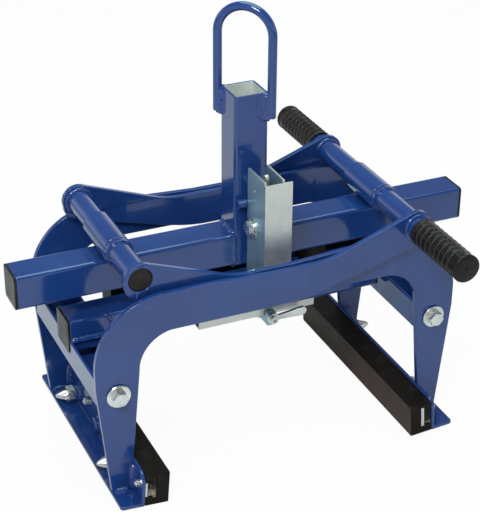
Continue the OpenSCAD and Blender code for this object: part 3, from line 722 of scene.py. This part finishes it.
def addBead(bm, path, radius):
    points = []
    for first, second in zip(path, path[1:]):
        count = max(2, round((second - first).length / (bead["pitch"] / bead["steps"])))
        points += [first.lerp(second, i / count) for i in range(count)]
    points.append(path[-1])
    phase = chance.random() * bead["phase"]
    knots = [chance.uniform(-1, 1) for _ in range(len(points) // bead["lump"] + 2)]
    rings = []
    for i, point in enumerate(points):
        before, after = points[max(0, i - 1)], points[min(len(points) - 1, i + 1)]
        turn = (after - before).to_track_quat("Z", "Y").to_matrix()
        knot, part = divmod(i / bead["lump"], 1)
        part = part * part * (3 - 2 * part)
        swell = knots[int(knot)] * (1 - part) + knots[int(knot) + 1] * part
        ripple = bead["ripple"] * math.sin(2 * math.pi * i / bead["steps"] + phase)
        size = radius * tapered(i, len(points) - 1, bead) * (1 + bead["swell"] * swell) + ripple
        angles = [2 * math.pi * k / bead["sides"] for k in range(bead["sides"])]
        rings.append([point + turn @ Vector((size * math.cos(a), size * math.sin(a), 0)) for a in angles])
    addRings(bm, rings)


def addSeam(bm, start, end, first, second, rough=1.0):
    # fillet weld in the corner that runs from start to end; first and second reach out on the two faces
    first, second = Vector(first), Vector(second)
    out = (first + second).normalized()
    steps = max(12, round((end - start).length / seam["step"]))
    seed = Vector([chance.uniform(0, seedRange) for _ in range(3)])
    rings = []
    for i in range(steps + 1):
        at = start.lerp(end, i / steps)
        ends = tapered(i, steps, seam)
        ring = []
        for k in range(seam["sides"] + 1):
            share = k / seam["sides"]
            swell = math.sin(math.pi * share)
            chevron = i * seam["step"] / bead["pitch"] * 2 * math.pi + seam["chevron"] * swell
            height = seam["bulge"] * swell + bead["ripple"] * math.sin(chevron)
            point = at + (first * (1 - share) + second * share) * ends
            uneven = seam["rough"] * rough * (seam["edge"] + (1 - seam["edge"]) * swell)
            height += uneven * noiseAt(point * seam["grain"] + seed)
            ring.append(point + out * height * ends)
        ring.append(at - out * seam["root"])
        rings.append(ring)
    addRings(bm, rings)


def addSpatter(bm, centre, first, second, count):
    # small drops of weld metal on a face that the two directions span
    for _ in range(count):
        place = centre + Vector(first) * chance.uniform(-1, 1) + Vector(second) * chance.uniform(-1, 1)
        size = spatter["drop"] * chance.uniform(spatter["least"], spatter["most"])
        bmesh.ops.create_icosphere(bm, subdivisions=spatter["subdivisions"], radius=size,
                                   matrix=Matrix.Translation(place))


def circlePath(centre, radius, y, start, sweep, count=40):
    angles = [math.radians(start + sweep * i / count) for i in range(count + 1)]
    return [Vector((centre[0] + radius * math.cos(a), y, centre[1] + radius * math.sin(a))) for a in angles]


beamWeld = {
    "inset": 0.5 * mm, "corner": 3 * mm,          # place of the upright seams in the post's rounded corners
    "across": 3.4 * mm, "out": 2.8 * mm, "end": 1 * mm,
    "side": 1.5 * mm, "sink": 0.3 * mm, "rough": 1.2,
    "dropIn": 9 * mm, "dropUnder": 0.2 * mm, "dropWide": 9 * mm, "dropHigh": 8 * mm, "drops": 7,
}


def addBeamWelds():
    weld = beamWeld
    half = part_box("lifting_post")[1].x
    beamLow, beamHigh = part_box("beam_left")
    bm = bmesh.new()
    for sx in (-1, 1):
        for sy in (-1, 1):
            # nearly flush seam where the beam butts against the rounded corner of the post
            groove = Vector((sx * (half - weld["inset"]), sy * (half - weld["corner"]), 0))
            addSeam(bm, groove + Vector((0, 0, beamLow.z + weld["end"])),
                    groove + Vector((0, 0, beamHigh.z - weld["end"])),
                    (-weld["across"] * sx, sy * weld["out"], 0), (weld["across"] * sx, sy * weld["out"], 0))
            for height in (beamLow.z + weld["dropIn"], beamHigh.z - weld["dropIn"]):
                addSpatter(bm, Vector((sx * half, sy * (half - weld["dropUnder"]), height)),
                           (weld["dropWide"], 0, 0), (0, 0, weld["dropHigh"]), weld["drops"])
        for edge, up in ((beamHigh.z, 1), (beamLow.z, -1)):
            reach = half - weld["side"]
            addSeam(bm, Vector((sx * half, -reach, edge)), Vector((sx * half, reach, edge)),
                    (sx * seam["leg"], 0, -up * weld["sink"]), (-sx * weld["sink"], 0, up * seam["leg"]),
                    weld["rough"])
    makePiece("beam_welds", bm, "lift_beam", weldPaint, weldSharp)


eyeWeld = {
    "bar": 6.25 * mm,        # radius of the eye's bar
    "onBar": 0.97, "inside": 2 * mm, "reach": 13 * mm, "sink": 0.2 * mm,
    "below": 5 * mm, "above": 0.5 * mm, "rough": 1.6,
    "dropUp": 4 * mm, "dropDown": 12 * mm, "dropWide": 3 * mm, "dropHigh": 8 * mm, "drops": 5,
}


def addEyeWelds():
    # the eye's legs lie on two opposite corners of the post, and weld metal fills the corner on both sides
    weld = eyeWeld
    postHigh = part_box("lifting_post")[1]
    eyeLow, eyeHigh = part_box("lifting_eye")
    half = postHigh.x
    bm = bmesh.new()
    for side in (-1, 1):
        outward = Vector((side, -side, 0)).normalized()
        across = Vector((outward.y, -outward.x, 0))
        bar = Vector((eyeHigh.x - weld["bar"], eyeLow.y + weld["bar"], 0)) * side
        corner = Vector((side * half, -side * half, 0))
        for hand in (-1, 1):
            alongFace = (across * hand - outward).normalized()
            inside = corner + alongFace * weld["inside"]
            onBar = bar + across * hand * weld["bar"] * weld["onBar"]
            onFace = corner + alongFace * weld["reach"] - outward * weld["sink"]
            addSeam(bm, inside + Vector((0, 0, eyeLow.z - weld["below"])),
                    inside + Vector((0, 0, postHigh.z + weld["above"])),
                    onBar - inside, onFace - inside, weld["rough"])
            for height in (eyeLow.z + weld["dropUp"], postHigh.z - weld["dropDown"]):
                addSpatter(bm, onFace + alongFace * weld["dropWide"] + Vector((0, 0, height)),
                           alongFace * weld["dropWide"], (0, 0, weld["dropHigh"]), weld["drops"])
    makePiece("eye_welds", bm, "lift_beam", weldPaint, weldSharp)


addBeamWelds()
addEyeWelds()

# rough weld metal round the three bosses of a foot angle
bossWeld = {
    "base": 3.5 * mm, "baseSink": 0.5 * mm,
    "skirt": [(0.6 * mm, 2.4 * mm, 0), (1.6 * mm, 1.2 * mm, 0.6)],      # height, reach, noise level
    "wall": 0.8 * mm, "wallSteps": (3, 4, 5), "allSteps": 6,
    "rim": 0.6 * mm, "rimLevel": 4.8, "rough": 1.3 * mm, "wave": 3,
    "underNut": 0.3 * mm, "bare": 0.5 * mm,                             # the middle boss carries no nut
}


def addBossWelds(side, prefix):
    weld = bossWeld
    y, v = coneNut["place"]
    nutRadius = coneNut["flats"] / 2
    bm = bmesh.new()
    for row in (-1, 0, 1):
        place = along(footPoint(side, foot["angleBack"], row * y, v), footOutward(side))
        seed = chance.uniform(0, seedRange)

        def rough(size, level):
            def radius(turn):
                spot = Vector((weld["wave"] * math.cos(turn), weld["wave"] * math.sin(turn), level + seed))
                return size + weld["rough"] * noiseAt(spot)
            return radius

        top = foot["boss"] - (weld["underNut"] if row else -weld["bare"])
        rows = [(-weld["baseSink"], nutRadius + weld["base"])]
        rows += [(height, rough(nutRadius + reach, level)) for height, reach, level in weld["skirt"]]
        rows += [(top * k / weld["allSteps"], rough(nutRadius + weld["wall"], k * weld["wall"] / mm))
                 for k in weld["wallSteps"]]
        rows += [(top, rough(nutRadius - weld["rim"], weld["rimLevel"])),
                 (top, nutRadius * turned["innerRing"])]
        addTurned(bm, place, rows)
    makePiece(prefix + "_boss_welds", bm, prefix + "_jaw", weldPaint, weldSharp)


# what shows in the open slots at the ends of a rubber bar: dirt, painted shade above it, and on the left the
# edge of a zinc plate
slotEnd = {
    "low": 13 * mm, "top": 40 * mm, "recess": 3 * mm, "slope": 3 * mm, "lump": 2.2 * mm, "lumpScale": 260,
    "columns": 10, "rows": 18, "thickness": 2 * mm, "seed": 7, "sharp": 70,
    "left": (20 * mm, 31.6 * mm), "right": (24 * mm, 34.6 * mm),        # inner and outer side of the dirt and its painted shade
    "plate": (32 * mm, 34.8 * mm, 15 * mm, 37 * mm),                    # inner and outer side, foot and top
    "plateFrom": 9 * mm, "plateTo": 1 * mm,                             # behind the end of the rubber
}


def addSlotDirtAndShade(side, prefix, mat):
    slot = slotEnd
    inner, outer = slot[prefix]
    low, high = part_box(prefix + "_rubber")
    bm = bmesh.new()
    for hand, end in ((-1, low.y), (1, high.y)):
        grid = []
        for j in range(slot["rows"] + 1):
            v = slot["low"] + (slot["top"] - slot["low"]) * j / slot["rows"]
            back = slot["recess"] + slot["slope"] * (j / slot["rows"]) ** 2
            line = []
            for i in range(slot["columns"] + 1):
                u = inner + (outer - inner) * i / slot["columns"]
                spot = Vector((u * slot["lumpScale"], v * slot["lumpScale"], hand * slot["seed"]))
                y = end - hand * (back + slot["lump"] * noiseAt(spot))
                line.append(bm.verts.new(footPoint(side, u, y, v)))
            grid.append(line)
        for first, second in zip(grid, grid[1:]):
            for i in range(slot["columns"]):
                bm.faces.new((first[i], first[i + 1], second[i + 1], second[i]))
    dirtAndShadeSheet = makePiece(prefix + "_slot_dirt_and_shade", bm, prefix + "_jaw", mat, slot["sharp"])
    thick = dirtAndShadeSheet.modifiers.new("thickness", "SOLIDIFY")
    thick.thickness = slot["thickness"]
    thick.offset = 0


def addSlotPlates(side, prefix):
    inner, outer, low, top = slotEnd["plate"]
    rubberLow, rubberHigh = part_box(prefix + "_rubber")
    bm = bmesh.new()
    for hand, end in ((-1, rubberLow.y), (1, rubberHigh.y)):
        corners = ((inner, low), (outer, low), (outer, top), (inner, top))
        addRings(bm, [[footPoint(side, u, end - hand * back, v) for u, v in corners]
                      for back in (slotEnd["plateFrom"], slotEnd["plateTo"])])
    makePiece(prefix + "_slot_plates", bm, prefix + "_jaw", boltZinc)


addBossWelds(-1, "left")
addSlotDirtAndShade(-1, "left", slotDirtAndShade)
addSlotPlates(-1, "left")
addBossWelds(1, "right")
addSlotDirtAndShade(1, "right", slotDirtAndShadeLow)

jawWeld = {
    "pipe": 17 * mm, "ringOut": 0.4 * mm, "ringAside": 0.6 * mm, "ring": 3.4 * mm,
    "innerStart": 200, "outerStart": 250, "sweep": 372,                 # degrees
    "floor": 5 * mm, "floorFrom": 44 * mm, "floorTo": 66 * mm, "backFrom": 7 * mm, "backTo": 46 * mm,
    "dropAside": 9 * mm,
    "floorDrops": 10, "floorDropU": 56 * mm, "floorDropV": 5.1 * mm, "floorWide": (12 * mm, 8 * mm),
    "backDrops": 6, "backDropU": 40.1 * mm, "backDropV": 24 * mm, "backWide": (15 * mm, 6 * mm),
}


def addJawWelds(side, prefix, tubeNode):
    weld = jawWeld
    low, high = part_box(tubeNode)
    plateLow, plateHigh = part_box(prefix + "_front_plate")
    centre = ((low.x + high.x) / 2, (low.z + high.z) / 2)
    outward = footPoint(side, 1, 0, 0) - footPoint(side, 0, 0, 0)
    upward = footPoint(side, 0, 0, 1) - footPoint(side, 0, 0, 0)
    ring, back = weld["pipe"] + weld["ringOut"], foot["angleBack"]
    bm = bmesh.new()
    for hand in (-1, 1):
        inner, outer = hand * -plateHigh.y, hand * -plateLow.y
        aside = hand * weld["ringAside"]
        path = circlePath(centre, ring, inner - aside, weld["innerStart"], weld["sweep"])
        addBead(bm, path, weld["ring"])
        if prefix == "left":
            path = circlePath(centre, ring, outer + aside, weld["outerStart"], weld["sweep"])
            addBead(bm, path, weld["ring"])
        # foot of the leg on the steel angle
        for y, away in ((inner, -hand), (outer, hand)):
            beside = Vector((0, away * seam["leg"], 0))
            addSeam(bm, footPoint(side, weld["floorFrom"], y, weld["floor"]),
                    footPoint(side, weld["floorTo"], y, weld["floor"]), beside, upward * seam["leg"])
            addSeam(bm, footPoint(side, back, y, weld["backFrom"]), footPoint(side, back, y, weld["backTo"]),
                    beside, outward * seam["leg"])
            dropY = y + away * weld["dropAside"]
            wide, deep = weld["floorWide"]
            addSpatter(bm, footPoint(side, weld["floorDropU"], dropY, weld["floorDropV"]),
                       outward * wide, (0, deep, 0), weld["floorDrops"])
            wide, deep = weld["backWide"]
            addSpatter(bm, footPoint(side, weld["backDropU"], dropY, weld["backDropV"]),
                       upward * wide, (0, deep, 0), weld["backDrops"])
    makePiece(prefix + "_jaw_welds", bm, prefix + "_jaw", weldPaint, weldSharp)


addJawWelds(-1, "left", "handle_tube")
addJawWelds(1, "right", "roller_tube")

frameWeld = {
    "side": 1 * mm, "guide": 22 * mm, "guideEnd": 5 * mm, "guideBead": 2.6 * mm, "proud": 0.2 * mm,
    # short curved run on the front top edge of the base tube: x, y, and depth below its top
    "run": [(-221 * mm, -22.5 * mm, -0.2 * mm), (-217 * mm, -24.6 * mm, 2.4 * mm),
            (-213 * mm, -25.2 * mm, 7 * mm), (-211 * mm, -25.2 * mm, 13 * mm)],
    "runBead": 3 * mm,
}


def addCrossbarSeam(bm, bar, y, side):
    low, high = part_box(bar)
    start, end = low.x + frameWeld["side"], high.x - frameWeld["side"]
    addSeam(bm, Vector((start, y, high.z)), Vector((end, y, high.z)),
            (0, side * seam["leg"], 0), (0, 0, seam["leg"]))


def addBaseWelds():
    weld = frameWeld
    tubeLow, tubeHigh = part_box("base_tube")
    guideLow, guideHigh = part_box("slide_guides")
    bm = bmesh.new()
    for side in (-1, 1):
        addCrossbarSeam(bm, "left_crossbar", side * tubeHigh.y, side)
    y = tubeHigh.y + weld["proud"]
    for x in (guideLow.x, guideLow.x + weld["guide"], guideHigh.x - weld["guide"], guideHigh.x):
        ends = (tubeLow.z + weld["guideEnd"], tubeHigh.z - weld["guideEnd"])
        addBead(bm, [Vector((x, y, height)) for height in ends], weld["guideBead"])
    addBead(bm, [Vector((x, y, tubeHigh.z - below)) for x, y, below in weld["run"]], weld["runBead"])
    makePiece("frame_welds", bm, "base", weldPaint, weldSharp)


def addCarriageWelds():
    low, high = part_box("slide_bar")
    bm = bmesh.new()
    for y, side in ((low.y, -1), (high.y, 1)):
        addCrossbarSeam(bm, "right_crossbar", y, side)
    makePiece("carriage_welds", bm, "carriage", weldPaint, weldSharp)


addBaseWelds()
addCarriageWelds()
print("weld beads made")

# floor, world, lamps and camera
studio = {
    "floorColour": (0.78, 0.72, 0.72), "floorRoughness": 0.9, "floorSpecular": 0.1,
    "floorGlow": 0.95,               # share of plain white that the camera sees
    "floorSize": 30, "floorDrop": 0.2 * mm,
    "ambient": (0.6, 0.68, 0.76), "ambientStrength": 0.6,
    "skyGloss": 0.2,                 # brightness of the room overhead, as gloss sees it
    "skyFrom": 0.1, "skyTo": 0.42,   # heights between which the room dims, as parts of the sphere
    "keyPlace": (-1.0, -1.24, 1.9), "keySize": 0.55, "keyPower": 31, "keyColour": (1, 1, 1),
    "topPlace": (0.3, 0.5, 2.6), "topSize": 2.0, "topPower": 41, "topColour": (0.78, 1.1, 1),
    "aim": (0, 0, 0.25),
}


def addFloor():
    half = studio["floorSize"] / 2
    bm = bmesh.new()
    corners = ((-1, -1), (1, -1), (1, 1), (-1, 1))
    bm.faces.new([bm.verts.new((x * half, y * half, -studio["floorDrop"])) for x, y in corners])
    mesh = bpy.data.meshes.new("floor")
    bm.to_mesh(mesh)
    bm.free()
    mat, tree, shader = newMaterial("pale_floor", studio["floorColour"], studio["floorRoughness"],
                                    specular=studio["floorSpecular"])
    glow = tree.nodes.new("ShaderNodeEmission")
    glow.inputs["Color"].default_value = (1, 1, 1, 1)
    path = tree.nodes.new("ShaderNodeLightPath")
    seen = tree.nodes.new("ShaderNodeMath")
    seen.operation = "MULTIPLY"
    seen.inputs[1].default_value = studio["floorGlow"]
    tree.links.new(path.outputs["Is Camera Ray"], seen.inputs[0])
    mix = tree.nodes.new("ShaderNodeMixShader")
    tree.links.new(seen.outputs[0], mix.inputs["Fac"])
    tree.links.new(shader.outputs["BSDF"], mix.inputs[1])
    tree.links.new(glow.outputs["Emission"], mix.inputs[2])
    # seen from below, the floor is clear
    under = tree.nodes.new("ShaderNodeNewGeometry")
    clear = tree.nodes.new("ShaderNodeBsdfTransparent")
    side = tree.nodes.new("ShaderNodeMixShader")
    tree.links.new(under.outputs["Backfacing"], side.inputs["Fac"])
    tree.links.new(mix.outputs["Shader"], side.inputs[1])
    tree.links.new(clear.outputs["BSDF"], side.inputs[2])
    tree.links.new(side.outputs["Shader"], tree.nodes["Material Output"].inputs["Surface"])
    mesh.materials.append(mat)
    floor = bpy.data.objects.new("floor", mesh)
    scene.collection.objects.link(floor)


def addWorld():
    world = bpy.data.worlds.new("studio")
    world.use_nodes = True
    tree = world.node_tree
    tree.nodes.clear()
    out = tree.nodes.new("ShaderNodeOutputWorld")
    white = tree.nodes.new("ShaderNodeBackground")
    white.inputs["Color"].default_value = (1, 1, 1, 1)
    # white for the camera and near the horizon, and dimmer overhead in reflections
    direction = tree.nodes.new("ShaderNodeTexCoord")
    parts = tree.nodes.new("ShaderNodeSeparateXYZ")
    tree.links.new(direction.outputs["Generated"], parts.inputs[0])
    dim = remap(tree, parts.outputs["Z"], studio["skyFrom"], studio["skyTo"], 0, studio["skyGloss"] - 1)
    gloss = tree.nodes.new("ShaderNodeMath")
    gloss.operation = "MULTIPLY_ADD"
    gloss.inputs[2].default_value = 1
    tree.links.new(dim, gloss.inputs[0])
    tree.links.new(gloss.outputs[0], white.inputs["Strength"])
    soft = tree.nodes.new("ShaderNodeBackground")
    soft.inputs["Color"].default_value = (*studio["ambient"], 1)
    soft.inputs["Strength"].default_value = studio["ambientStrength"]
    path = tree.nodes.new("ShaderNodeLightPath")
    tree.links.new(path.outputs["Is Glossy Ray"], gloss.inputs[1])
    first = tree.nodes.new("ShaderNodeMath")
    first.operation = "MAXIMUM"
    second = tree.nodes.new("ShaderNodeMath")
    second.operation = "MAXIMUM"
    tree.links.new(path.outputs["Is Camera Ray"], first.inputs[0])
    tree.links.new(path.outputs["Is Glossy Ray"], first.inputs[1])
    tree.links.new(first.outputs[0], second.inputs[0])
    tree.links.new(path.outputs["Is Transmission Ray"], second.inputs[1])
    mix = tree.nodes.new("ShaderNodeMixShader")
    tree.links.new(second.outputs[0], mix.inputs["Fac"])
    tree.links.new(soft.outputs["Background"], mix.inputs[1])
    tree.links.new(white.outputs["Background"], mix.inputs[2])
    tree.links.new(mix.outputs["Shader"], out.inputs["Surface"])
    scene.world = world


def addLamp(name):
    lamp = bpy.data.lights.new(name, "AREA")
    lamp.color = studio[name + "Colour"]
    lamp.shape = "SQUARE"
    lamp.size = studio[name + "Size"]
    lamp.energy = studio[name + "Power"]
    place = Vector(studio[name + "Place"])
    obj = bpy.data.objects.new(name, lamp)
    obj.location = place
    obj.rotation_mode = "QUATERNION"
    obj.rotation_quaternion = (Vector(studio["aim"]) - place).to_track_quat("-Z", "Y")
    scene.collection.objects.link(obj)


# fitted to the photograph: degrees, metres and pixels of a 480 x 512 picture
view = {
    "azimuth": -24.2, "elevation": 28.8, "roll": 0.4, "distance": 2.1801, "aside": -0.0046, "above": -0.0023,
    "target": (0, 0, 0.256), "focal": 1518.1, "width": 480, "sensor": 36, "clipEnd": 60,
}


def addCamera():
    azimuth, elevation, roll = (math.radians(view[k]) for k in ("azimuth", "elevation", "roll"))
    back = Vector((math.sin(azimuth) * math.cos(elevation), -math.cos(azimuth) * math.cos(elevation),
                   math.sin(elevation)))
    right = Vector((math.cos(azimuth), math.sin(azimuth), 0))
    up = back.cross(right)
    eye = Vector(view["target"]) + back * view["distance"] + right * view["aside"] + up * view["above"]
    x = right * math.cos(roll) + up * math.sin(roll)
    y = up * math.cos(roll) - right * math.sin(roll)
    lens = bpy.data.cameras.new("camera")
    lens.sensor_fit = "HORIZONTAL"
    lens.sensor_width = view["sensor"]
    lens.lens = view["sensor"] * view["focal"] / view["width"]
    lens.clip_end = view["clipEnd"]
    cam = bpy.data.objects.new("camera", lens)
    cam.matrix_world = Matrix(((x.x, y.x, back.x, eye.x), (x.y, y.y, back.y, eye.y),
                               (x.z, y.z, back.z, eye.z), (0, 0, 0, 1)))
    scene.collection.objects.link(cam)
    scene.camera = cam


addFloor()
addWorld()
addLamp("key")
addLamp("top")
addCamera()
scene.view_settings.view_transform = "Standard"
print("studio made")

bpy.context.view_layer.update()
